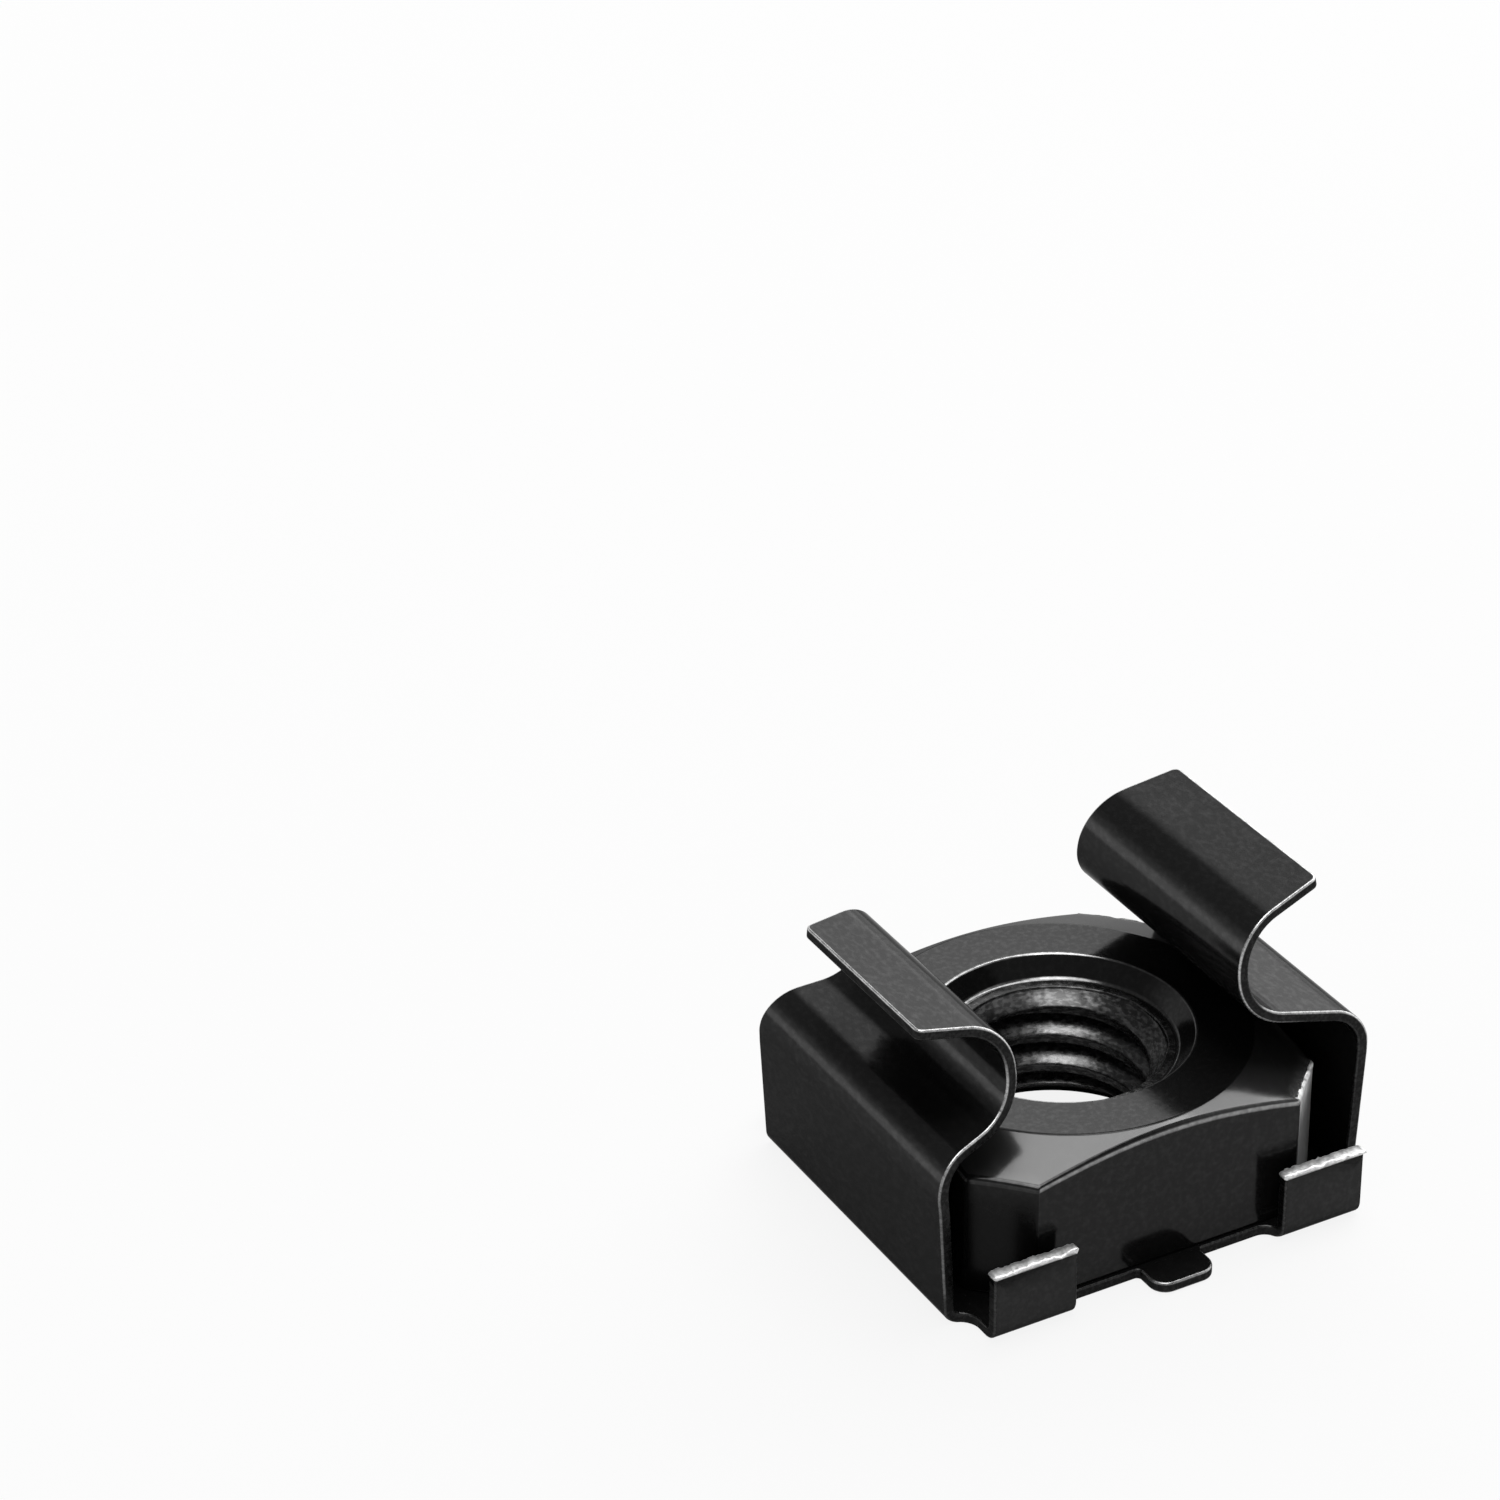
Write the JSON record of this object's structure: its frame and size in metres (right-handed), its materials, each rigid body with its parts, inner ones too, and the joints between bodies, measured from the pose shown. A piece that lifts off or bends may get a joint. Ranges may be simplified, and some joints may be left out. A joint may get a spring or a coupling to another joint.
{
  "type": "rack cage nut",
  "caption": "Square M6 nut held loosely in a folded spring-steel cage whose ears clip into a square rack hole.",
  "frame": {"origin": "on the thread's axis, at the underside of the cage's base", "axes": "+Z along the thread from the base towards the ears, X from ear to ear with +X at the taller ear, Y along the ears"},
  "size_m": [0.0137, 0.0134, 0.0095],
  "materials": {
    "plated_nut": "black zinc plating, semi-gloss",
    "plated_spring_steel": "black zinc plating on rolled spring steel, gloss"
  },
  "bodies": {
    "root": {"square_nut": "plated_nut", "spring_cage": "plated_spring_steel"}
  },
  "joints": []
}
